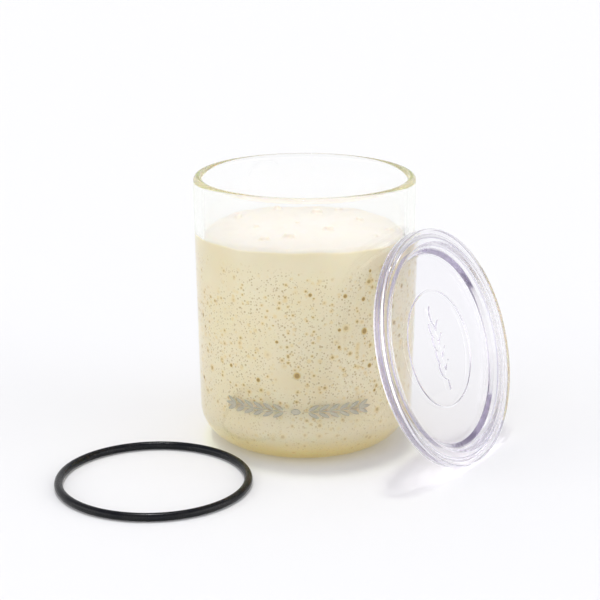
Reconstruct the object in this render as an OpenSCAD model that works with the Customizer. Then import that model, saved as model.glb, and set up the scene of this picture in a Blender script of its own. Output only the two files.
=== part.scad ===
// A straight-sided glass jar of sourdough starter, with its moulded lid leaning on the
// glass and its rubber level band lying on the table in front of it.
// The origin is the middle of the jar's base, on the table. +Z is up. Millimetres.
// A bearing of 0 points from the jar towards -Y, and it grows towards +X.

/* [Jar] */
// Outside diameter at the rim
rim_d = 92; // [84:0.5:104]
// Outside diameter where the rounding of the base ends
foot_d = 88.5; // [82:0.5:92]
// Height from the table to the top of the lip
jar_h = 112.6; // [106:0.2:150]
// Thickness of the fire-rounded lip
lip_t = 3.8; // [3:0.1:5]
// Thickness of the wall near the base
wall_t = 3.4; // [2.5:0.1:4.5]
// Thickness of the floor
floor_t = 5; // [3:0.5:8]
// Radius of the outside rounding of the base
base_round = 15; // [10:0.5:20]
// Length of the straight neck below the middle of the lip, inside and outside
neck_l = 10; // [6:0.5:20]

/* [Starter] */
// Height above the table at which the starter leaves the glass
fill_h = 88; // [50:0.5:94]
// Radius of its edge, which curls in from the glass
edge_round = 1.5; // [0.5:0.25:3]
// How much its low dome rises inside that edge
dome_h = 1.5; // [0.5:0.25:4]
// Gap between the starter and the glass
starter_gap = 0.15; // [0.05:0.05:0.5]

/* [Lid] */
// Height of the skirt
skirt_h = 5.1; // [4.6:0.1:9]
// Thickness of the skirt
skirt_t = 2.4; // [1.6:0.1:4]
// Thickness of the plastic above the jar's lip
crown_t = 2; // [1.4:0.1:2.6]
// Gap between the lip and the lid's skirt
rim_fit = 0.4; // [0.2:0.05:0.8]
// Gap between the lip and the lid's plug
plug_fit = 1.2; // [0.4:0.1:2]
// Radius of the rounded corners of the lid's channel
channel_round = 1.8; // [0.6:0.1:2.1]
// Depth of the dished top
dish_depth = 5; // [3:0.1:6]
// Thickness of the dish's floor
dish_t = 3; // [2:0.1:4]
// Thickness of the plug's wall beside the dish's floor
plug_t = 2.2; // [1.4:0.1:3]
// How much wider the dish is at its top than at its floor, on the radius
dish_flare = 4.5; // [3:0.1:5]
// Radius of the rounded edges
lid_round = 0.8; // [0.4:0.1:1.2]

/* [Emblem] */
// Middle diameter of the raised ring in the dish
ring_d = 48; // [40:1:64]
// Width of the raised lines
line_w = 0.5; // [0.4:0.1:1.6]
// Height of the raised lines
relief = 0.25; // [0.2:0.05:1]
// Length of one raised grain
grain_l = 8.5; // [6:0.5:10]
// Width of one raised grain
grain_w = 3.6; // [2.5:0.1:4.5]
// Number of pairs of grains on the ear
grain_pairs = 4; // [2:1:5]
// Distance from one pair of grains to the next
grain_step = 5.6; // [4.5:0.1:6.5]

/* [Where the lid leans] */
// How far the lid leans back from upright, in degrees
lean = 18.2; // [10:0.2:25]
// Bearing that the lid's top faces, in degrees
lid_facing = 58; // [40:1:80]
// Bearing at which the lid stands, in degrees
lid_bearing = 63.4; // [50:0.2:80]
// Gap between the lid and the glass
lean_gap = 0.3; // [0.2:0.05:1]

/* [Level band] */
// Diameter of the relaxed band at the middle of its rubber
band_d = 75.2; // [60:0.2:84]
// Thickness of the rubber
band_t = 3.4; // [2:0.1:5]
// Gap between the band and the jar's side, seen from above
band_gap = 0.8; // [0.5:0.1:40]
// Bearing at which the band lies, in degrees
band_bearing = -45.2; // [-80:0.2:-20]

/* [Hidden] */
$fn = 128;

rim_r = rim_d / 2;
foot_r = foot_d / 2;
mouth_r = rim_r - lip_t;                       // radius of the bore in the mouth
lip_z = jar_h - lip_t / 2;                     // height of the middle of the lip
neck_z = lip_z - neck_l;                       // height at which the straight neck starts
in_r = foot_r - wall_t;                        // inside radius above the inner rounding
in_round = base_round - wall_t;                // inside rounding, beside the outer one
plug_r = mouth_r - plug_fit;                   // outside radius of the lid's plug
skirt_in_r = rim_r + rim_fit;                  // inside radius of the lid's skirt
lid_r = skirt_in_r + skirt_t;                  // outside radius of the lid
channel_z = -crown_t - channel_round;          // depth at which the channel's walls start
dish_r = plug_r - plug_t;                      // radius of the dish's floor
plug_z = -dish_depth - dish_t;                 // depth of the plug's underside
weld = 0.2;                                    // how deep raised lines root in the floor

// Outside radius of the glass at height z
function wall_r(z) = let (t = (z - base_round) / (neck_z - base_round))
    foot_r + (rim_r - foot_r) * min(max(t, 0), 1);

// Inside radius of the glass at height z
function inside_r(z) = let (t = (z - floor_t - in_round) / (neck_z - floor_t - in_round))
    in_r + (mouth_r - in_r) * min(max(t, 0), 1);

// Points of an arc about c, from one angle to another
function arc(c, r, from, to, steps) =
    [for (i = [0:steps]) let (a = from + (to - from) * i / steps) c + r * [cos(a), sin(a)]];

// Point at distance r from the jar's axis, at a bearing
function at_bearing(r, bearing) = r * [sin(bearing), -cos(bearing)];

// The lid's top face is tilted up by the lean. These are its directions in space.
face_dir = [cos(lean) * sin(lid_facing), -cos(lean) * cos(lid_facing), sin(lean)];
side_dir = [cos(lid_facing), sin(lid_facing), 0];
up_dir = cross(face_dir, side_dir);

// The skirt's rounded lower edge is a thin ring, and the lid stands and leans on it.
edge_r = lid_r - lid_round;
edge_z = -skirt_h + lid_round;
lid_z = edge_r * cos(lean) - edge_z * sin(lean) + lid_round;

// The plug's rounded lower edge is a second ring, which also faces the glass.
rings = [[edge_r, edge_z], [plug_r - lid_round, plug_z + lid_round]];

// Point of a ring at an angle from its top, when the lid's middle is at distance s
function ring_point(s, ring, a) = let (c = at_bearing(s, lid_bearing))
    [c.x, c.y, lid_z] + face_dir * ring[1] + ring[0] * (sin(a) * side_dir + cos(a) * up_dir);

// Gap between the lid and the glass, when the lid's middle is at distance s
function gap_at(s) = min([for (ring = rings, a = [-60:2:60])
    let (p = ring_point(s, ring, a)) norm([p.x, p.y]) - wall_r(p.z) - lid_round]);

// Nearest distance at which the gap is kept, found by halving
function stand_at(near, far, steps) = steps == 0 ? far
    : let (mid = (near + far) / 2)
        gap_at(mid) >= lean_gap ? stand_at(near, mid, steps - 1)
                                : stand_at(mid, far, steps - 1);

stand_r = stand_at(rim_r, rim_r + lid_r, 16);
lid_at = at_bearing(stand_r, lid_bearing);
band_at = at_bearing(foot_r + band_gap + (band_d + band_t) / 2, band_bearing);

// Half section of the jar without its lip, as if it were solid
module outside_half() {
    polygon([
        [0, 0],
        [foot_r - base_round, 0],
        [foot_r, base_round],
        [rim_r, neck_z],
        [rim_r, lip_z],
        [0, lip_z]
    ]);
    translate([foot_r - base_round, base_round])
        circle(base_round);
}

// Half section of the space inside the glass
module inside_half() {
    polygon([
        [0, floor_t],
        [in_r - in_round, floor_t],
        [in_r, floor_t + in_round],
        [mouth_r, neck_z],
        [mouth_r, jar_h],
        [0, jar_h]
    ]);
    translate([in_r - in_round, floor_t + in_round])
        circle(in_round);
}

module glass_jar() {
    color([0.86, 0.90, 0.84, 0.35])
    rotate_extrude() {
        difference() {
            outside_half();
            inside_half();
        }
        polygon(arc([rim_r - lip_t / 2, lip_z], lip_t / 2, 0, 180, 12));
    }
}

// The starter fills the glass. Its edge is an arc that touches both the glass and the dome.
module starter() {
    edge_x = inside_r(fill_h) - starter_gap - edge_round;
    reach = (pow(edge_x, 2) + pow(dome_h, 2)) / (2 * dome_h);
    dome_z = fill_h + dome_h - reach;
    edge_slope = atan2(edge_x, fill_h - dome_z);
    dome_steps = 5;
    dome_start = 90 - edge_slope * (dome_steps - 1) / dome_steps;
    color([0.93, 0.88, 0.76])
    rotate_extrude()
        polygon(concat(
            [[0, floor_t + starter_gap]],
            arc([in_r - in_round, floor_t + in_round], in_round - starter_gap, -90, 0, 8),
            arc([edge_x, fill_h], edge_round, 0, 90 - edge_slope, 5),
            arc([0, dome_z], reach + edge_round, dome_start, 90, dome_steps - 1)
        ));
}

// Cuts a square corner to a round one. Its point is at p, and it opens towards dir.
module round_corner(p, dir, r) {
    translate(p)
        difference() {
            translate([min(dir.x, 0) * r, min(dir.y, 0) * r])
                square(r);
            translate([dir.x * r, dir.y * r])
                circle(r);
        }
}

// Half section of the lid, with its top face at height 0
module lid_half() {
    difference() {
        union() {
            translate([0, channel_z])
                square([lid_r, -channel_z]);
            translate([skirt_in_r, -skirt_h])
                square([skirt_t, skirt_h]);
            translate([0, plug_z])
                square([plug_r, -plug_z]);
        }
        // channel for the jar's lip
        for (x = [plug_r + channel_round, skirt_in_r - channel_round])
            translate([x, channel_z])
                circle(channel_round);
        translate([plug_r + channel_round, channel_z])
            square([skirt_in_r - plug_r - 2 * channel_round, channel_round]);
        // dished top
        polygon([
            [0, 0],
            [dish_r + dish_flare, 0],
            [dish_r, -dish_depth],
            [0, -dish_depth]
        ]);
        round_corner([lid_r, 0], [-1, -1], lid_round);
        round_corner([lid_r, -skirt_h], [-1, 1], lid_round);
        round_corner([plug_r, plug_z], [-1, 1], lid_round);
    }
}

// A grain is the lens between two arcs, with its lower tip at the origin.
module grain() {
    arc_r = (pow(grain_l, 2) + pow(grain_w, 2)) / (4 * grain_w);
    translate([0, grain_l / 2])
        intersection() {
            translate([arc_r - grain_w / 2, 0])
                circle(arc_r);
            translate([grain_w / 2 - arc_r, 0])
                circle(arc_r);
        }
}

// An ear of wheat: a stem with pairs of leaning grains and one grain at the top
module wheat_ear() {
    splay = 26;
    foot_y = -grain_pairs * grain_step / 2 - grain_l / 2;
    stem_l = grain_l + grain_pairs * grain_step - grain_step / 2;
    translate([-line_w / 2, foot_y - grain_l / 4])
        square([line_w, stem_l]);
    translate([0, foot_y + stem_l - grain_l / 2])
        grain();
    for (i = [0:grain_pairs - 1])
        for (side = [-1, 1])
            translate([side * line_w / 2, foot_y + grain_l / 4 + i * grain_step])
                rotate(-side * splay)
                    grain();
}

module emblem() {
    translate([0, 0, -dish_depth - weld]) {
        rotate_extrude()
            translate([(ring_d - line_w) / 2, 0])
                square([line_w, weld + relief]);
        linear_extrude(weld + relief)
            wheat_ear();
    }
}

module lid() {
    color([0.87, 0.85, 0.93, 0.4])
    translate([lid_at.x, lid_at.y, lid_z])
        rotate([90 - lean, 0, lid_facing]) {
            rotate_extrude()
                lid_half();
            emblem();
        }
}

module level_band() {
    color([0.09, 0.10, 0.12])
    translate([band_at.x, band_at.y, band_t / 2])
        rotate_extrude()
            translate([band_d / 2, 0])
                circle(band_t / 2);
}

glass_jar();
starter();
lid();
level_band();
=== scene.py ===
# %% [markdown]
# This lesson dresses a jar of sourdough starter: a clear glass jar, the pale batter in it,
# a clear moulded lid that leans on the glass, and a black rubber band that marks the level.
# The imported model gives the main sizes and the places, and the finer sizes are written here.
# Each piece below is built as a mesh of its own round that model, and gets a finish made only
# of shader nodes.

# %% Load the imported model
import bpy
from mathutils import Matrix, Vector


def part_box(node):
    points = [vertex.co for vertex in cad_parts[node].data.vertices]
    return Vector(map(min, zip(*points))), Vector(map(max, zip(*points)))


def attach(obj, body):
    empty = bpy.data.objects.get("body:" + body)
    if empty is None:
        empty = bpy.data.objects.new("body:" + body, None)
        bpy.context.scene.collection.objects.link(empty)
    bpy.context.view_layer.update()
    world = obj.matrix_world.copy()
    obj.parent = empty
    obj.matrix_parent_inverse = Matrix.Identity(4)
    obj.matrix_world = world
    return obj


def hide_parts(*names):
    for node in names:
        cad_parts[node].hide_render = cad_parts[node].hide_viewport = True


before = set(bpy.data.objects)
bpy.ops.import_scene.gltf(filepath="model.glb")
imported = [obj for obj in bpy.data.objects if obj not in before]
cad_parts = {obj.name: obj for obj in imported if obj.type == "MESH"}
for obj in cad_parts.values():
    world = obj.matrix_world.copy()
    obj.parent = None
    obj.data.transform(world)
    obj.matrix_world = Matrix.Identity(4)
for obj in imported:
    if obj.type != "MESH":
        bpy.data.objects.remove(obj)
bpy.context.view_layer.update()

# %% Bring in the tools
import math

import bpy
import numpy as np
from mathutils import Matrix, Vector

MM = 0.001
seed = 7
rng = np.random.default_rng(seed)
print("lengths are in millimetres unless a line says metres, and the seed is", seed)

# %% [markdown]
# The jar, the lid and the band are all turned shapes, so one helper draws half of a section
# and another spins it. The section is a list of corners, each with its own rounding. A short
# straight stretch is kept beside each rounding, so that smooth shading stays flat on the
# flat faces. A spun section makes cleaner rings than a modelled cylinder with bevels, and
# clear glass shows every uneven face.


# %% Draw a rounded section
def direction(start, end):
    """The unit vector from one point to another."""
    step = np.array(end[:2], float) - np.array(start[:2], float)
    return step / np.linalg.norm(step)


def rounded(corners, turn=9.0, ease=0.12):
    """Points of a section in millimetres, with each inner (radius, height, rounding) rounded."""
    points = [np.array(corners[0][:2], float)]
    for before, here, after in zip(corners, corners[1:], corners[2:]):
        spot = np.array(here[:2], float)
        if here[2] == 0:
            points.append(spot)
            continue
        back, ahead = direction(here, before), direction(here, after)
        half = math.acos(np.clip(back @ ahead, -1, 1)) / 2
        reach = here[2] / math.tan(half)
        centre = spot + direction((0, 0), back + ahead) * here[2] / math.sin(half)
        start, end = spot + back * reach - centre, spot + ahead * reach - centre
        sweep = math.atan2(start[0] * end[1] - start[1] * end[0], start @ end)
        steps = max(3, round(abs(math.degrees(sweep)) / turn))
        points.append(spot + back * (reach + ease))
        for share in np.linspace(0, 1, steps + 1):
            cos, sin = math.cos(sweep * share), math.sin(sweep * share)
            points.append(centre + np.array([start[0] * cos - start[1] * sin,
                                             start[0] * sin + start[1] * cos]))
        points.append(spot + ahead * (reach + ease))
    points.append(np.array(corners[-1][:2], float))
    return np.array(points)


# %% Turn a section into a solid
def turned(section, around, looped=False):
    """Points and faces of a section turned about Z. A point on the axis stays one point."""
    angles = np.linspace(0, 2 * math.pi, around, endpoint=False)
    points, rows = [], []
    for radius, height in section:
        first = len(points)
        if radius < 1e-6:
            points.append((0, 0, height))
            rows.append([first] * around)
        else:
            points += [(radius * math.sin(a), -radius * math.cos(a), height) for a in angles]
            rows.append(list(range(first, first + around)))
    pairs = list(zip(rows, rows[1:] + rows[:1])) if looped else list(zip(rows, rows[1:]))
    faces = []
    for low, high in pairs:
        for i in range(around):
            j = (i + 1) % around
            faces.append(list(dict.fromkeys((low[i], low[j], high[j], high[i]))))
    return np.array(points), faces


def piece(name, points, faces, material, body, slot):
    """A smooth mesh piece from points in millimetres. It rides on a body. The slot is not used.
    """
    mesh = bpy.data.meshes.new(name)
    mesh.from_pydata((np.array(points) * MM).tolist(), [], faces)
    mesh.shade_smooth()
    mesh.materials.append(material)
    made = bpy.data.objects.new(name, mesh)
    bpy.context.scene.collection.objects.link(made)
    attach(made, body)
    print(name, "has", len(mesh.polygons), "faces")
    return made


# %% [markdown]
# Shader nodes are easier to read when each one is a single line. The helper below adds a
# node, fills its named sockets, and hands it back, so that the next line can use it.


# %% Add shader nodes in one line
def put(tree, kind, sockets=None, **settings):
    """Adds a shader node, with its settings, and gives each named socket a value or a link."""
    made = tree.nodes.new("ShaderNode" + kind)
    for name, value in settings.items():
        setattr(made, name, value)
    for socket, value in (sockets or {}).items():
        if isinstance(value, bpy.types.NodeSocket):
            tree.links.new(value, made.inputs[socket])
        else:
            made.inputs[socket].default_value = value
    return made


def calc(tree, operation, *values):
    """The result of a Math node."""
    return put(tree, "Math", dict(enumerate(values)), operation=operation).outputs[0]


def blend(tree, share, start, end):
    """A colour between two others."""
    made = put(tree, "Mix", {0: share, 6: start, 7: end}, data_type="RGBA")
    return made.outputs[2]


def ramp_between(tree, value, low, high):
    """A smooth step from 0 at low to 1 at high."""
    sockets = {"Value": value, "From Min": low, "From Max": high}
    return put(tree, "MapRange", sockets, interpolation_type="SMOOTHSTEP").outputs[0]


def new_material(name):
    """A material with an empty node tree and its output node."""
    made = bpy.data.materials.new(name)
    made.use_nodes = True
    made.node_tree.nodes.clear()
    return made, made.node_tree, put(made.node_tree, "OutputMaterial")


def new_group(name, inputs, outputs):
    """A shader node group with named float sockets, and its input and output nodes."""
    tree = bpy.data.node_groups.new(name, "ShaderNodeTree")
    for label, value in inputs.items():
        socket = tree.interface.new_socket(label, in_out="INPUT", socket_type="NodeSocketFloat")
        socket.default_value = value
    for label in outputs:
        tree.interface.new_socket(label, in_out="OUTPUT", socket_type="NodeSocketFloat")
    return tree, tree.nodes.new("NodeGroupInput"), tree.nodes.new("NodeGroupOutput")


def use(tree, group, **values):
    """Places a node group in a material with its own values."""
    made = put(tree, "Group", node_tree=group)
    for name, value in values.items():
        made.inputs[name.replace("_", " ")].default_value = value
    return made


# %% [markdown]
# Two effects come back in several finishes. Specks are round spots of many sizes: gas
# bubbles in the batter, dust on the rubber, gaps in the printed ink. A Voronoi texture
# places one point in each cell of space, and only some cells keep theirs. Unevenness is the
# faint swell that blown glass, moulded plastic and wet dough all have. Each is a node group,
# so that it is built once and placed with other numbers in each material.

# %% Make the speck group
smallest_share = 0.35
core_share = 0.55
halo_share = 2.0
specks, given, result = new_group(
    "specks", {"Cells per metre": 500.0, "Size": 0.3, "Share of cells": 0.5, "Seed": 0.0},
    ["Core", "Halo"])
where = put(specks, "TexCoord").outputs["Object"]
shift = put(specks, "CombineXYZ", {i: given.outputs["Seed"] for i in range(3)}).outputs[0]
place = put(specks, "VectorMath", {0: where, 1: shift}, operation="ADD").outputs[0]
cells = put(specks, "TexVoronoi", {"Vector": place, "Scale": given.outputs["Cells per metre"]})
dice = put(specks, "SeparateColor", {0: cells.outputs["Color"]})
kept = calc(specks, "LESS_THAN", dice.outputs[0], given.outputs["Share of cells"])
spread = calc(specks, "MULTIPLY_ADD", dice.outputs[1], 1 - smallest_share, smallest_share)
reach = calc(specks, "MULTIPLY", spread, given.outputs["Size"])
inner = calc(specks, "MULTIPLY", reach, core_share)
outer = calc(specks, "MULTIPLY", reach, halo_share)
core = ramp_between(specks, cells.outputs["Distance"], reach, inner)
halo = ramp_between(specks, cells.outputs["Distance"], outer, reach)
specks.links.new(calc(specks, "MULTIPLY", core, kept), result.inputs["Core"])
specks.links.new(calc(specks, "MULTIPLY", halo, kept), result.inputs["Halo"])
print("group:", specks.name)

# %% Make the unevenness group
grain_per_wave = 14.0
uneven, given, result = new_group("unevenness", {"Waves per metre": 60.0, "Grain": 0.3},
                                  ["Height", "Tone"])
where = put(uneven, "TexCoord").outputs["Object"]
broad = put(uneven, "TexNoise", {"Vector": where, "Scale": given.outputs["Waves per metre"],
                                 "Detail": 2.0, "Roughness": 0.4}).outputs["Fac"]
tight = calc(uneven, "MULTIPLY", given.outputs["Waves per metre"], grain_per_wave)
fine = put(uneven, "TexNoise", {"Vector": where, "Scale": tight, "Detail": 4.0,
                                "Roughness": 0.6}).outputs["Fac"]
both = put(uneven, "Mix", {0: given.outputs["Grain"], 2: broad, 3: fine}).outputs[0]
uneven.links.new(both, result.inputs["Height"])
uneven.links.new(ramp_between(uneven, broad, 0.3, 0.7), result.inputs["Tone"])
print("group:", uneven.name)

# %% [markdown]
# The jar is blown borosilicate glass: colourless through the wall, faintly straw green where
# the eye looks along it, as at the lip. A Principled shader with full transmission bends the
# light, and a volume absorption gives the tint by real thickness. Lamps are let through by a
# transparent shader on shadow rays, because light focused by curved glass is slow to render.
# Two attributes vary this along a mesh. Frost roughens the surface and gives it a painted
# lavender tint, for the colour light takes in thick plastic, and edge changes how much
# lamplight gets through. A mesh without them has neither.


# %% Make the clear materials
painted_lavender = (0.68, 0.65, 0.80, 1)
lavender_per_frost = 2.0


def clear_material(name, ior, tint, density, veil, edge_veil, waves, relief):
    """A clear solid: bends light, tints it by thickness, and lets lamps through."""
    made, tree, out = new_material(name)
    swell = use(tree, uneven, Waves_per_metre=waves, Grain=0.05)
    bump = put(tree, "Bump", {"Strength": 0.25, "Distance": relief,
                              "Height": swell.outputs["Height"]})
    frost = put(tree, "Attribute", attribute_name="frost").outputs["Fac"]
    polish = calc(tree, "MULTIPLY_ADD", swell.outputs["Tone"], 0.012, frost)
    # Frost also tints the base colour lavender: a painted tint for the colour light takes in the
    # thick, frosted walls.
    lavender_share = calc(tree, "MULTIPLY", frost, lavender_per_frost)
    body = put(tree, "BsdfPrincipled", {
        "Base Color": blend(tree, lavender_share, (1, 1, 1, 1), painted_lavender),
        "Roughness": polish, "IOR": ior,
        "Transmission Weight": 1.0, "Normal": bump.outputs[0]})
    edge = put(tree, "Attribute", attribute_name="edge").outputs["Fac"]
    let_by = blend(tree, edge, (*veil, 1), (*edge_veil, 1))
    through = put(tree, "BsdfTransparent", {"Color": let_by})
    shadow = put(tree, "LightPath").outputs["Is Shadow Ray"]
    mixed = put(tree, "MixShader", {0: shadow, 1: body.outputs[0], 2: through.outputs[0]})
    depth = put(tree, "VolumeAbsorption", {"Color": (*tint, 1), "Density": density})
    tree.links.new(mixed.outputs[0], out.inputs["Surface"])
    tree.links.new(depth.outputs[0], out.inputs["Volume"])
    return made


jar_glass = clear_material("blown_glass", ior=1.48, tint=(0.89, 0.96, 0.58), density=11.0,
                           veil=(0.97, 0.97, 0.95), edge_veil=(0.9, 0.9, 0.85), waves=45.0,
                           relief=0.0002)
lid_plastic = clear_material("moulded_clear_plastic", ior=1.54, tint=(0.70, 0.66, 0.77),
                             density=28.0, veil=(0.985, 0.98, 0.985),
                             edge_veil=(0.82, 0.81, 0.84), waves=70.0, relief=0.0001)
print("clear materials:", jar_glass.name, lid_plastic.name)

# %% [markdown]
# The glass wall is thin and even, the base is thick with a big outer rounding, and the lip
# is fire-rounded. The underside is pushed up a little, so that the jar stands on a ring. The
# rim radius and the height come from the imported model. The rest are the jar's own sizes.

# %% Build the glass jar
jar_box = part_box("glass_jar")
rim_r = jar_box[1].x / MM
jar_h = jar_box[1].z / MM
foot_r = 44.25
lip_t = 3.8
wall_t = 3.4
floor_t = 5.0
base_round = 15.0
neck_drop = 10.0
neck_z = jar_h - lip_t / 2 - neck_drop
mouth_r = rim_r - lip_t
in_r = foot_r - wall_t
in_round = base_round - wall_t
push_up = 1.1
stand_ring = 27.0
slope_w = 6
slope_share = 0.7
slope_round = 12
stand_round = 2
taper_round = 30
step_in = 0.2


def wall_r(z):
    """Outside radius of the glass at a height."""
    share = np.clip((z - base_round) / (neck_z - base_round), 0, 1)
    return foot_r + (rim_r - foot_r) * share


def inside_r(z):
    """Inside radius of the glass at a height."""
    share = np.clip((z - floor_t - in_round) / (neck_z - floor_t - in_round), 0, 1)
    return in_r + (mouth_r - in_r) * share


lip_flat = 0.03
lip_round = lip_t / 2 - lip_flat
base_x = foot_r - (rim_r - foot_r) * base_round / (neck_z - base_round)
jar_corners = [
    (0, push_up, 0),
    (stand_ring - slope_w, push_up * slope_share, slope_round),
    (stand_ring, 0, stand_round),
    (base_x, 0, base_round),
    (rim_r, neck_z, taper_round),
    (rim_r, jar_h, lip_round),
    (mouth_r, jar_h, lip_round),
    (mouth_r, neck_z, taper_round),
    (in_r - step_in, floor_t, in_round),
    (0, floor_t, 0),
]
jar = piece("glass_jar_clear", *turned(rounded(jar_corners, turn=6, ease=0.02), 256),
            jar_glass, "jar", "clear_glass")
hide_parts("glass_jar")

# %% [markdown]
# The batter touches the glass all round, so its skin is drawn a tenth of a millimetre into
# the wall: with an air gap the glass would show a bright empty rim. The top is a low dome with
# a curled edge. Blisters of gas lift it here and there, and they are real bumps in the mesh,
# on rings half a millimetre apart.

# %% Shape the top of the batter
fill_h = 88.0
edge_round = 2.2
dome_h = 1.2
contact = 0.1
swell_h = 0.25
pock_h = 0.06
blister_share = 0.55
blister_slope = 1.7
near_lift = 1.3
slow_wave_h = 0.30
quick_wave_h = 0.18
wave_reach = 42.0
blisters = [(-28.8, 18.8, 2.4), (5.3, 24.4, 3.0), (23.4, 11.7, 2.2), (9.6, -7.5, 2.6),
            (-6.3, -20.8, 3.0), (-15.9, -24.1, 2.6), (35.0, -5.0, 2.2), (-3.0, 3.5, 1.2),
            (-20.0, -2.0, 1.4), (15.0, 30.0, 2.0), (-12.0, 32.0, 2.4), (28.0, -18.0, 1.3)]
print("blisters on the batter:", len(blisters))


def smooth(value):
    """The smooth step of a value from 0 to 1."""
    share = np.clip(value, 0, 1)
    return share * share * (3 - 2 * share)


def top_relief(x, y):
    """How far the top stands up, and how much of a blister's flank a place is, for its painted
    shade.
    """
    height = swell_h * np.sin(x / 9.0 + 1.0) * np.cos(y / 11.0 - 0.6)
    height += pock_h * np.sin(x / 2.3 + y / 3.1) * np.sin(y / 2.7 - x / 4.0)
    flank = 0 * height
    for bx, by, size in blisters:
        near = smooth((1 - np.hypot(x - bx, y - by) / size) * blister_slope)
        height += blister_share * size * near
        flank = np.maximum(flank, (4 * near * (1 - near)) ** 2)
    return height, flank


def contact_lift(x, y):
    """How much higher the batter meets the glass: more on the near side, and in slow waves."""
    bearing = np.arctan2(x, -y)
    waves = slow_wave_h * np.sin(5 * bearing + 1.5) + quick_wave_h * np.sin(13 * bearing)
    return near_lift * smooth(-y / wave_reach) + waves * smooth(np.hypot(x, y) / wave_reach)


# %% Build the batter
side_from = 20.0
side_step = 2.0
ring_step = 0.5
curl_steps = 10
lift_depth = 6
peak_gap = 0.3
top_share = 0.8
top_blend = 0.4
edge_fade = 2
batter_sides = 300
edge_x = inside_r(fill_h) - edge_round
side_start = rounded([(0, floor_t - contact, 0),
                      (in_r - step_in + contact, floor_t - contact, in_round),
                      (inside_r(fill_h) + contact, fill_h, 0)], turn=9, ease=0.02)[:-1]
side_rows = [(inside_r(z) + contact, z) for z in np.arange(side_from, fill_h, side_step)]
curl = [(edge_x + (edge_round + contact) * math.cos(a), fill_h + edge_round * math.sin(a))
        for a in np.linspace(0, math.pi / 2, curl_steps)]
top_rows = [(r, fill_h + edge_round + dome_h * (1 - (r / edge_x) ** 2))
            for r in np.arange(edge_x - ring_step, peak_gap, -ring_step)]
peak = [(0, fill_h + edge_round + dome_h)]
points, faces = turned([*side_start, *side_rows, *curl, *top_rows, *peak], batter_sides)
across = np.hypot(points[:, 0], points[:, 1])
on_top = smooth((points[:, 2] - fill_h - edge_round * top_share) / top_blend)
on_top = on_top * smooth((edge_x + edge_fade / 2 - across) / edge_fade)
rise = smooth((points[:, 2] - fill_h + lift_depth) / lift_depth)
points[:, 2] += rise * contact_lift(points[:, 0], points[:, 1])
relief_up, flank_shades = top_relief(points[:, 0], points[:, 1])
points[:, 2] += on_top * relief_up
print("batter reaches", round(points[:, 2].max(), 1), "mm")

# %% [markdown]
# Fermented batter is pale and slightly see-through, so its shader scatters light under the
# skin. Against the glass it shows a crowd of gas bubbles: most are pin pricks, and some reach
# a millimetre. Four layers of the speck group lie over each other. Two hold tiny bubbles with
# a light ring, and two hold larger ones with a golden ring, and every core is painted shade
# inside the gas pocket. They lie in patches, stop short of the top and thin out at the base.
# Light that soaks through the batter at the base is stood for by a painted golden shade and a
# little golden light of its own there.

# %% Choose the layers of small bubbles
light_ring = (0.96, 0.90, 0.73, 1)
gold_ring = (0.87, 0.70, 0.34, 1)
# The bubbles' cores are painted shade inside the gas pockets.
pocket_shade = (0.50, 0.34, 0.09, 1)
ring_share = 0.7
bubble_layers = [
    (900.0, 0.46, 1.00, 0.0, 0.50, light_ring),
    (640.0, 0.40, 1.00, 5.2, 0.60, light_ring),
    (400.0, 0.32, 0.55, 3.1, 0.75, gold_ring),
    (210.0, 0.24, 0.45, 7.7, 0.85, gold_ring),
]
print("layers of small bubbles:", len(bubble_layers))

# %% Choose where the batter's colours change
# Each pair is where an effect starts and where it is full. All but the tilt are heights in
# metres, and the tilt is how far up the surface faces.
crowd_top = (0.086, 0.078)
crowd_base = (0.010, 0.030)
painted_base_shade = (0.014, 0.004)
glowing_base = (0.012, 0.003)
# The top shade pairs place a painted shade on the batter's up-facing top.
top_shade_height = (0.080, 0.088)
top_shade_tilt = (0.15, 0.6)
print("bubbles stop between", crowd_top[1], "m and", crowd_top[0], "m")


# %% Colour the small bubbles
def bubble_crowd(tree, where, height):
    """How thick the bubbles lie: in patches, none near the top and fewer at the base."""
    patch = put(tree, "TexNoise", {"Vector": where, "Scale": 60.0, "Detail": 2.0})
    crowd = ramp_between(tree, patch.outputs["Fac"], 0.28, 0.46)
    crowd = calc(tree, "MULTIPLY", crowd, ramp_between(tree, height, *crowd_top))
    sparse = ramp_between(tree, height, *crowd_base)
    return calc(tree, "MULTIPLY", crowd, calc(tree, "MULTIPLY_ADD", sparse, 0.6, 0.4))


def with_bubbles(tree, colour, crowd):
    """A colour with every layer of small bubbles over it, each a ring round a core of painted
    shade.
    """
    for cell, size, share, shift, depth, rim in bubble_layers:
        dots = use(tree, specks, Cells_per_metre=cell, Size=size, Share_of_cells=share,
                   Seed=shift)
        ring = calc(tree, "MULTIPLY", dots.outputs["Halo"], crowd)
        core = calc(tree, "MULTIPLY", dots.outputs["Core"], crowd)
        colour = blend(tree, calc(tree, "MULTIPLY", ring, ring_share * depth), colour, rim)
        colour = blend(tree, calc(tree, "MULTIPLY", core, depth), colour, pocket_shade)
    return colour


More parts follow.
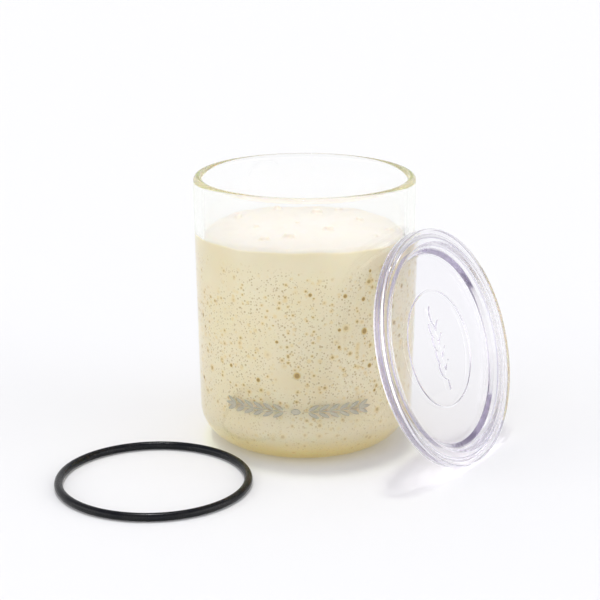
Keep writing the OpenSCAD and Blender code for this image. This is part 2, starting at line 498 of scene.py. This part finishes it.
# %% Make the batter's material
def batter_material():
    """Pale wet batter: bubbles with cores of painted shade, painted shade on top, and a golden
    base of painted shade and glow.
    """
    made, tree, out = new_material("fermented_batter")
    where = put(tree, "TexCoord").outputs["Object"]
    height = put(tree, "SeparateXYZ", {0: where}).outputs["Z"]
    swell = use(tree, uneven, Waves_per_metre=45.0, Grain=0.35)
    pale = (0.945, 0.855, 0.66, 1)
    warm = (0.92, 0.815, 0.585, 1)
    colour = blend(tree, swell.outputs["Tone"], pale, warm)
    # Towards the base the colour turns a darker gold: painted shade for the light through the
    # thick glass base.
    low = ramp_between(tree, height, *painted_base_shade)
    colour = blend(tree, calc(tree, "MULTIPLY", low, 0.8), colour, (0.88, 0.74, 0.40, 1))
    colour = with_bubbles(tree, colour, bubble_crowd(tree, where, height))
    # Up-facing surfaces near the top turn greyer: painted shade that offsets the stronger light
    # there.
    facing = put(tree, "SeparateXYZ", {0: put(tree, "NewGeometry").outputs["Normal"]})
    top_shade_share = calc(tree, "MULTIPLY", ramp_between(tree, facing.outputs["Z"], *top_shade_tilt),
                 ramp_between(tree, height, *top_shade_height))
    colour = blend(tree, top_shade_share, colour, (0.85, 0.80, 0.725, 1))
    # The blisters' flanks turn a darker tan: painted shade on the slopes of the bumps.
    flank = put(tree, "Attribute", attribute_name="blister_flank_shade").outputs["Fac"]
    colour = blend(tree, calc(tree, "MULTIPLY", flank, 0.6), colour, (0.72, 0.63, 0.50, 1))
    bump = put(tree, "Bump", {"Strength": 0.5, "Distance": 0.0004,
                              "Height": swell.outputs["Height"]})
    wet = calc(tree, "MULTIPLY_ADD", swell.outputs["Tone"], 0.12, 0.34)
    # The base also glows gold: painted light for light that soaks through the batter.
    painted_base_glow = ramp_between(tree, height, *glowing_base)
    painted_base_glow = blend(tree, painted_base_glow, (0, 0, 0, 1), (0.82, 0.61, 0.16, 1))
    body = put(tree, "BsdfPrincipled", {
        "Base Color": colour, "Roughness": wet, "IOR": 1.38, "Subsurface Weight": 0.35,
        "Subsurface Radius": (1.0, 0.72, 0.38), "Subsurface Scale": 0.0018,
        "Emission Color": painted_base_glow, "Emission Strength": 0.25, "Normal": bump.outputs[0]})
    tree.links.new(body.outputs[0], out.inputs["Surface"])
    return made


batter = batter_material()
starter = piece("starter_dough", points, faces, batter, "jar", "starter_batter")
attribute = starter.data.attributes.new("blister_flank_shade", "FLOAT", "POINT")
attribute.data.foreach_set("value", (on_top * flank_shades).astype(np.float32))
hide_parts("starter")

# %% [markdown]
# The biggest bubbles are pieces of mesh. Each is a shallow disc pressed against the glass,
# with an attribute that runs from 0 at its rim to 1 at its middle, and the material turns
# that number into the warm ring and the dark middle. Some places are listed one by one, to
# match the front of the jar, and seeded random ones fill the rest of the way round.


# %% Map flat drawings onto the jar
def on_cylinder(radius_at, along, height, out):
    """Points at an arc length and a height on the jar's side, standing out by out."""
    radius = radius_at(height)
    angle = along / radius
    return np.stack([(radius + out) * np.sin(angle), -(radius + out) * np.cos(angle),
                     height + 0 * out], axis=-1)


def disc(rings, around):
    """Places and faces of a flat disc of radius 1, closed underneath."""
    spots = [(0.0, 0.0)]
    for ring in range(1, rings + 1):
        for i in range(around):
            a = 2 * math.pi * i / around
            spots.append((ring / rings * math.cos(a), ring / rings * math.sin(a)))
    faces = []
    for i in range(around):
        j = (i + 1) % around
        faces.append([0, 1 + i, 1 + j])
        for ring in range(1, rings):
            low, high = 1 + (ring - 1) * around, 1 + ring * around
            faces.append([low + i, high + i, high + j, low + j])
        last = 1 + (rings - 1) * around
        faces.append([last + j, last + i, len(spots)])
    return np.array([*spots, (0.0, 0.0)]), faces


# %% Place the big bubbles
hidden_count = 46
back_from = 50
back_to = 310
seen = [(-4, 39.3, 1.7), (34, 56.1, 1.6), (33, 69.7, 1.1), (22, 71.9, 1.1), (3, 73.2, 1.0),
        (37, 80.9, 0.8), (19, 58.0, 0.9), (19, 50.8, 0.8), (-15, 53.2, 0.9), (38, 41.0, 1.2),
        (-44, 40.0, 1.0), (-26, 36.2, 1.1), (42, 29.7, 0.9), (-21, 25.5, 0.8)]
hidden = [(rng.uniform(back_from, back_to), rng.uniform(20, 78), rng.uniform(0.7, 1.5))
          for _ in range(hidden_count)]
print("big bubbles:", len(seen), "by hand and", len(hidden), "at random")

# %% Shape the big bubbles
bubble_rings = 6
bubble_sides = 20
disc_share = 0.95
disc_bulge = 0.05
disc_sunk = 0.3
spots, disc_faces = disc(bubble_rings, bubble_sides)
centre_share = 1 - np.hypot(spots[:, 0], spots[:, 1])
centre_share[-1] = 0
points, faces, middle = [], [], []
for bearing, height, width in seen + hidden:
    halo_r = width * disc_share
    along = math.radians(bearing) * inside_r(height) + spots[:, 0] * halo_r
    tall = height + spots[:, 1] * halo_r * rng.uniform(0.95, 1.15)
    out = contact + disc_bulge * smooth(centre_share * 2)
    out[-1] = contact - disc_sunk
    faces += [[len(points) + k for k in face] for face in disc_faces]
    points += on_cylinder(inside_r, along, tall, out).tolist()
    middle += centre_share.tolist()


# %% Make and place the big bubbles
def bubble_material():
    """A golden ring round a dark middle of painted shade, from the distance to the bubble's rim.
    """
    made, tree, out = new_material("gas_bubble")
    share = put(tree, "Attribute", attribute_name="middle").outputs["Fac"]
    swell = use(tree, uneven, Waves_per_metre=900.0, Grain=0.3)
    wobble = calc(tree, "MULTIPLY_ADD", swell.outputs["Height"], 0.10, share)
    colour = blend(tree, ramp_between(tree, wobble, 0.05, 0.38), (0.90, 0.79, 0.55, 1),
                   (0.84, 0.66, 0.28, 1))
    # The dark middle is painted shade inside the gas pocket.
    colour = blend(tree, ramp_between(tree, wobble, 0.30, 0.56), colour, (0.47, 0.31, 0.10, 1))
    body = put(tree, "BsdfPrincipled", {"Base Color": colour, "Roughness": swell.outputs["Tone"],
                                        "IOR": 1.33})
    tree.links.new(body.outputs[0], out.inputs["Surface"])
    return made


bubbles = piece("gas_bubbles", points, faces, bubble_material(), "jar", "starter_batter")
attribute = bubbles.data.attributes.new("middle", "FLOAT", "POINT")
attribute.data.foreach_set("value", np.array(middle, np.float32))

# %% [markdown]
# The jar's front carries a plain grey sprig in printed enamel: two ears of grain that grow
# out from the middle along the jar. Each grain is a thin closed spindle bent round the glass,
# because a printed enamel really does stand a hair above the surface.


# %% Draw flat spindles on the glass
def spindle(start, end, width, thick, stations=14, blunt=0.6):
    """A flat leaf from start to end in a plane: rows of (along, height, out), and faces."""
    start, end = np.array(start, float), np.array(end, float)
    along = (end - start) / np.linalg.norm(end - start)
    side = np.array([-along[1], along[0]])
    section = 8
    rows = [[*start, 0.0]]
    for share in np.linspace(0, 1, stations + 2)[1:-1]:
        swell = math.sin(math.pi * share) ** blunt
        for k in range(section):
            a = 2 * math.pi * k / section
            spot = start + (end - start) * share + side * width / 2 * swell * math.cos(a)
            rows.append([*spot, thick * swell * math.sin(a)])
    rows.append([*end, 0.0])
    faces = []
    for k in range(section):
        j = (k + 1) % section
        faces.append([0, 1 + j, 1 + k])
        for row in range(stations - 1):
            low, high = 1 + row * section, 1 + (row + 1) * section
            faces.append([low + k, low + j, high + j, high + k])
        last = 1 + (stations - 1) * section
        faces.append([last + k, last + j, len(rows) - 1])
    return np.array(rows), faces


# %% Build the printed sprig
print_mid = math.radians(-4.5)
print_z = 24.6
sprig_half = 32.0
pairs = 6
grain_l = 5.0
grain_w = 1.6
ink_t = 0.05
dot_half = 2.0
dot_w = 2.6
stem_from = 3.0
stem_end = 5.0
stem_w = 0.5
tip_l = 5.6
first_foot = 5.0
feet_short = 10.5
grain_off = 0.4
grain_turn = 0.5
tip_run = grain_l * math.cos(grain_turn)
tip_rise = grain_l * math.sin(grain_turn)
strokes = [((-dot_half, 0.0), (dot_half, 0.0), dot_w)]
for side in (-1, 1):
    strokes.append(((side * stem_from, 0.0), (side * (sprig_half - stem_end), 0.0), stem_w))
    strokes.append(((side * (sprig_half - tip_l), 0.0), (side * sprig_half, 0.0), grain_w))
    for k in range(pairs):
        foot = first_foot + k * (sprig_half - feet_short) / (pairs - 1)
        for up in (-1, 1):
            tip = (side * (foot + tip_run), up * (grain_off + tip_rise))
            strokes.append(((side * foot, up * grain_off), tip, grain_w))
print("strokes in the sprig:", len(strokes))
points, faces = [], []
for start, end, width in strokes:
    rows, leaf_faces = spindle(start, end, width, ink_t)
    faces += [[len(points) + k for k in face] for face in leaf_faces]
    points += on_cylinder(wall_r, print_mid * foot_r + rows[:, 0], print_z + rows[:, 1],
                          rows[:, 2]).tolist()


# %% Make the ink and print the sprig
def ink_material():
    """Grey enamel with small gaps in it."""
    made, tree, out = new_material("grey_printed_enamel")
    gaps = use(tree, specks, Cells_per_metre=2600.0, Size=0.35, Share_of_cells=0.5, Seed=1.3)
    swell = use(tree, uneven, Waves_per_metre=300.0, Grain=0.5)
    colour = blend(tree, swell.outputs["Tone"], (0.41, 0.38, 0.29, 1), (0.35, 0.33, 0.26, 1))
    colour = blend(tree, calc(tree, "MULTIPLY", gaps.outputs["Core"], 0.5), colour,
                   (0.52, 0.47, 0.35, 1))
    body = put(tree, "BsdfPrincipled", {"Base Color": colour, "Roughness": 0.45})
    tree.links.new(body.outputs[0], out.inputs["Surface"])
    return made


piece("printed_sprig", points, faces, ink_material(), "jar", "clear_glass")

# %% [markdown]
# The lid is one clear moulding. From the outside in it has a skirt, a channel with a flat
# ceiling that takes the jar's lip, a plug, and a dished floor. Its place comes from the packed
# model: the skirt's lower edge is a thin ring, and the outermost points of a tilted ring give
# its middle. The raised ring and the ear of grain in the dish belong to the same surface. They
# are a height added to a fine polar grid, because a second clear solid on top would leave
# a seam inside the plastic.

# %% Find where the lid stands
lean = math.radians(18.2)
facing = math.radians(58.0)
lid_round = 0.8
lid_r = 48.8
skirt_h = 5.1
face = Vector((math.cos(lean) * math.sin(facing), -math.cos(lean) * math.cos(facing),
               math.sin(lean)))
edge_r = lid_r - lid_round
edge_z = lid_round - skirt_h
lid_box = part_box("lid")
lid_x = lid_box[0].x / MM + lid_round + edge_r * math.sqrt(1 - face.x ** 2) - edge_z * face.x
lid_y = lid_box[1].y / MM - lid_round - edge_r * math.sqrt(1 - face.y ** 2) - edge_z * face.y
lid_z = lid_round + edge_r * math.cos(lean) - edge_z * math.sin(lean)
lid_place = (Matrix.Translation((lid_x, lid_y, lid_z)) @ Matrix.Rotation(facing, 4, "Z")
             @ Matrix.Rotation(math.pi / 2 - lean, 4, "X"))
print("lid stands at", [round(v, 2) for v in lid_place.translation])

# %% Shape the raised ornament
ring_r = 24.0
line_w = 0.5
relief = 0.25
soft_edge = 0.16
ear_pairs = 4
ear_step = 5.6
ear_grain_l = 8.5
ear_grain_w = 3.6
splay = math.radians(26)
ear_foot = -ear_pairs * ear_step / 2 - ear_grain_l / 2
stem_low = ear_foot - ear_grain_l / 4
stem_high = ear_foot + ear_pairs * ear_step + 4
top_grain = stem_high - 1.5
print("the ear is", round(top_grain + ear_grain_l - stem_low, 1), "mm long")


def lens_distance(x, y, foot_x, foot_y, turn):
    """Signed distance to a grain, which is the lens between two arcs."""
    arc_r = (ear_grain_l ** 2 + ear_grain_w ** 2) / (4 * ear_grain_w)
    dx, dy = x - foot_x, y - foot_y
    u = dx * math.cos(turn) - dy * math.sin(turn)
    v = dx * math.sin(turn) + dy * math.cos(turn) - ear_grain_l / 2
    shift = arc_r - ear_grain_w / 2
    return np.maximum(np.hypot(u - shift, v), np.hypot(u + shift, v)) - arc_r


def ornament(x, y):
    """Height of the ring and the ear of grain at a place in the dish."""
    shape = np.abs(np.hypot(x, y) - ring_r) - line_w / 2
    stem = np.maximum(np.abs(x) - line_w / 2,
                      np.maximum(stem_low - y, y - stem_high))
    shape = np.minimum(shape, stem)
    shape = np.minimum(shape, lens_distance(x, y, 0, top_grain, 0))
    for k in range(ear_pairs):
        for side in (-1, 1):
            foot = ear_foot + ear_grain_l / 4 + k * ear_step
            shape = np.minimum(shape, lens_distance(x, y, side * line_w / 2, foot, side * splay))
    return relief * smooth(0.5 - shape / (2 * soft_edge))


# %% Shape the lid
plug_gap = 1.2
skirt_gap = 0.4
plug_r = mouth_r - plug_gap
skirt_in = rim_r + skirt_gap
crown_t = 2.0
dish_depth = 5.0
dish_r = 38.8
dish_top = 43.3
plug_z = -8.0
channel_round = 1.8
plug_round = 0.8
skirt_round = 0.6
brim_round = 0.5
dish_round = 1.6
grid_step = 0.2
lid_sides = 500
lid_corners = [
    (0, plug_z, 0),
    (plug_r, plug_z, plug_round),
    (plug_r, -crown_t, channel_round),
    (skirt_in, -crown_t, channel_round),
    (skirt_in, -skirt_h, skirt_round),
    (lid_r, -skirt_h, lid_round),
    (lid_r, 0, lid_round),
    (dish_top, 0, brim_round),
    (dish_r, -dish_depth, dish_round),
    (ring_r + 1.5, -dish_depth, 0),
]
lid_section = rounded(lid_corners, turn=9, ease=0.03)
grid = [(r, -dish_depth) for r in np.arange(ring_r + 1.2, grid_step, -grid_step)]
points, faces = turned([*lid_section, *grid, (0, -dish_depth)], lid_sides)
on_floor = np.abs(points[:, 2] + dish_depth) < 1e-6
points[on_floor, 2] += ornament(points[on_floor, 0], points[on_floor, 1])
across = np.hypot(points[:, 0], points[:, 1])
print("the lid has", len(points), "points")

# %% [markdown]
# Moulded walls are less polished than flat faces. So the plug's wall and the outer part of
# its underside get a little frost, the channel's ceiling more, and the inside of the skirt
# the most, and with it the painted lavender tint. Everything beyond the dish's floor is
# marked as edge, where less lamplight gets through.

# %% Frost the walls and build the lid
plug_frost = 0.06
channel_frost = 0.12
skirt_frost = 0.5
frost_start = 36.0
wall_reach = 0.9
margin = 0.1
hair = 0.01
underside = points[:, 2] < plug_z + wall_reach
plug_wall = (points[:, 2] < -crown_t + hair) & (across > plug_r - wall_reach)
frost = np.where(underside & (across > frost_start) | plug_wall, plug_frost, 0)
frost[plug_wall & (across > plug_r + margin)] = channel_frost
frost[plug_wall & (across > skirt_in - margin)] = skirt_frost
frost[across > skirt_in + hair] = 0
points = np.array([lid_place @ Vector(p) for p in points])
lid = piece("lid_clear", points, faces, lid_plastic, "lid", "clear_lid_plastic")
for label, amount in [("frost", frost), ("edge", across > dish_r - 1)]:
    attribute = lid.data.attributes.new(label, "FLOAT", "POINT")
    attribute.data.foreach_set("value", amount.astype(np.float32))
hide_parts("lid")

# %% [markdown]
# The level band is a round rubber ring, moulded in two halves, so a hair-thin line runs
# round its outside and inside. Black rubber is never quite black: it reflects the room
# softly, has a fine grain, and always picks up dust. The middle of the ring and its
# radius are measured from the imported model.


# %% Make the rubber
def rubber_material():
    """Soft black rubber with a fine grain and specks of dust."""
    made, tree, out = new_material("black_rubber")
    swell = use(tree, uneven, Waves_per_metre=180.0, Grain=0.6)
    dust = use(tree, specks, Cells_per_metre=420.0, Size=0.10, Share_of_cells=0.12, Seed=4.2)
    colour = blend(tree, swell.outputs["Tone"], (0.003, 0.004, 0.006, 1),
                   (0.008, 0.008, 0.009, 1))
    colour = blend(tree, calc(tree, "MULTIPLY", dust.outputs["Core"], 0.5), colour,
                   (0.28, 0.27, 0.25, 1))
    worn = calc(tree, "MULTIPLY_ADD", swell.outputs["Height"], 0.24, 0.14)
    bump = put(tree, "Bump", {"Strength": 0.35, "Distance": 0.0001,
                              "Height": swell.outputs["Height"]})
    body = put(tree, "BsdfPrincipled", {"Base Color": colour, "Roughness": worn,
                                        "Specular IOR Level": 0.2, "Normal": bump.outputs[0]})
    tree.links.new(body.outputs[0], out.inputs["Surface"])
    return made


# %% Build the level band
band_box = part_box("level_band")
band_t = (band_box[1].z - band_box[0].z) / MM
band_mid = (band_box[0] + band_box[1]) / 2 / MM
band_r = (band_box[1].x - band_box[0].x) / MM / 2 - band_t / 2
seam_h = 0.05
seam_w = 0.06
band_steps = 72
band_sides = 300
section = []
for a in np.linspace(0, 2 * math.pi, band_steps, endpoint=False):
    bulge = band_t / 2 + seam_h * (math.exp(-(math.sin(a) / seam_w) ** 2) - 1)
    section.append((band_r + bulge * math.cos(a), bulge * math.sin(a)))
points, faces = turned(section, band_sides, looped=True)
points += np.array(band_mid)
band = piece("level_band_rubber", points, faces, rubber_material(), "level_band", "black_rubber")
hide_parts("level_band")

# %% [markdown]
# The stage is a wide white floor that keeps the shadows. It gives a little light of its own,
# faint to the eye, in reflections and through glass, and stronger where it lights the other
# pieces, as the table of a bright studio does. The room is seen in three ways: white behind
# everything, even and plain for lighting, and for reflections and bent light a room with a
# bright horizon and a dusky ceiling. Without that last part clear edges would have nothing to
# show, and the lid would vanish.


# %% Make the floor's material
seen_light = 0.05
bounce_light = 0.25


def floor_material():
    """White floor that keeps shadows, and gives some light of its own."""
    made, tree, out = new_material("white_floor")
    body = put(tree, "BsdfDiffuse", {"Color": (0.74, 0.74, 0.75, 1)})
    path = put(tree, "LightPath")
    seen_by = calc(tree, "ADD", path.outputs["Is Camera Ray"], path.outputs["Is Glossy Ray"])
    seen_by = calc(tree, "ADD", seen_by, path.outputs["Is Transmission Ray"])
    looked_at = calc(tree, "MULTIPLY", calc(tree, "MINIMUM", seen_by, 1), seen_light)
    strength = calc(tree, "MULTIPLY_ADD", path.outputs["Is Diffuse Ray"], bounce_light,
                    looked_at)
    glow = put(tree, "Emission", {"Color": (1, 1, 1, 1), "Strength": strength})
    both = put(tree, "AddShader", {0: body.outputs[0], 1: glow.outputs[0]})
    tree.links.new(both.outputs[0], out.inputs["Surface"])
    return made


# %% Lay the floor
floor_r = 3000
floor_inner_r = 400
floor_drop = 0.05
floor_sides = 96
floor_mesh = bpy.data.meshes.new("floor")
floor_section = [(r, -floor_drop) for r in (0, floor_inner_r, floor_r)]
floor_points, floor_faces = turned(floor_section, floor_sides)
floor_mesh.from_pydata((floor_points * MM).tolist(), [], floor_faces)
floor_mesh.flip_normals()
floor_mesh.materials.append(floor_material())
floor = bpy.data.objects.new("floor", floor_mesh)
bpy.context.scene.collection.objects.link(floor)
print("the floor reaches", floor_r, "mm from the jar")

# %% Light the room
world = bpy.data.worlds.new("studio")
world.use_nodes = True
tree = world.node_tree
tree.nodes.clear()
height = put(tree, "SeparateXYZ", {0: put(tree, "TexCoord").outputs["Generated"]})
path = put(tree, "LightPath")
dusk = ramp_between(tree, height.outputs["Z"], 0.36, 0.80)
room = blend(tree, dusk, (0.92, 0.92, 0.94, 1), (0.34, 0.32, 0.40, 1))
bent = calc(tree, "MINIMUM", calc(tree, "ADD", path.outputs["Is Glossy Ray"],
                                  path.outputs["Is Transmission Ray"]), 1)
plain = blend(tree, path.outputs["Is Camera Ray"], (0.75, 0.75, 0.77, 1), (1, 1, 1, 1))
sky = put(tree, "Background", {"Color": blend(tree, bent, plain, room), "Strength": 1.0})
put(tree, "OutputWorld", {"Surface": sky.outputs[0]})
bpy.context.scene.world = world
print("world:", world.name)


# %% Hang the lamps
def sun(name, strength, angle, towards):
    """A soft distant lamp that shines in a direction."""
    lamp = bpy.data.lights.new(name, "SUN")
    lamp.energy = strength
    lamp.angle = math.radians(angle)
    made = bpy.data.objects.new(name, lamp)
    made.rotation_euler = Vector(towards).to_track_quat("-Z", "Y").to_euler()
    bpy.context.scene.collection.objects.link(made)


sun("top_softbox", 1.15, 5, (0.05, -0.10, -1.0))
sun("front_fill", 0.45, 70, (0.1, 0.95, -0.12))
sun("left_fill", 1.00, 60, (0.93, 0.30, -0.10))
sun("right_fill", 1.38, 60, (-0.93, 0.30, -0.10))
print("lamps:", len(bpy.data.lights))

# %% [markdown]
# The camera stands where the photograph was taken from: 0.70 m in front of the jar's middle
# and 0.26 m up, looking down by 16.3 degrees through a long lens. Those numbers were fitted
# to the ellipses of the jar's rim, the lid and the band. Light may pass many faces of clear
# plastic before it leaves, so the limits on its path are high.

# %% Set the camera
look_down = 0.2841
roll = 0.0027
lens = bpy.data.cameras.new("camera")
lens.sensor_width = 36.0
lens.lens = 104.11
camera = bpy.data.objects.new("camera", lens)
camera.location = (0.0, -0.7013, 0.2634)
camera.rotation_euler = (math.pi / 2 - look_down, 0.0, roll)
bpy.context.scene.collection.objects.link(camera)
bpy.context.scene.camera = camera
bpy.context.scene.view_settings.view_transform = "Standard"
bpy.context.scene.cycles.max_bounces = 120
bpy.context.scene.cycles.transmission_bounces = 120
bpy.context.scene.cycles.glossy_bounces = 60
print("camera at", [round(v, 4) for v in camera.location])
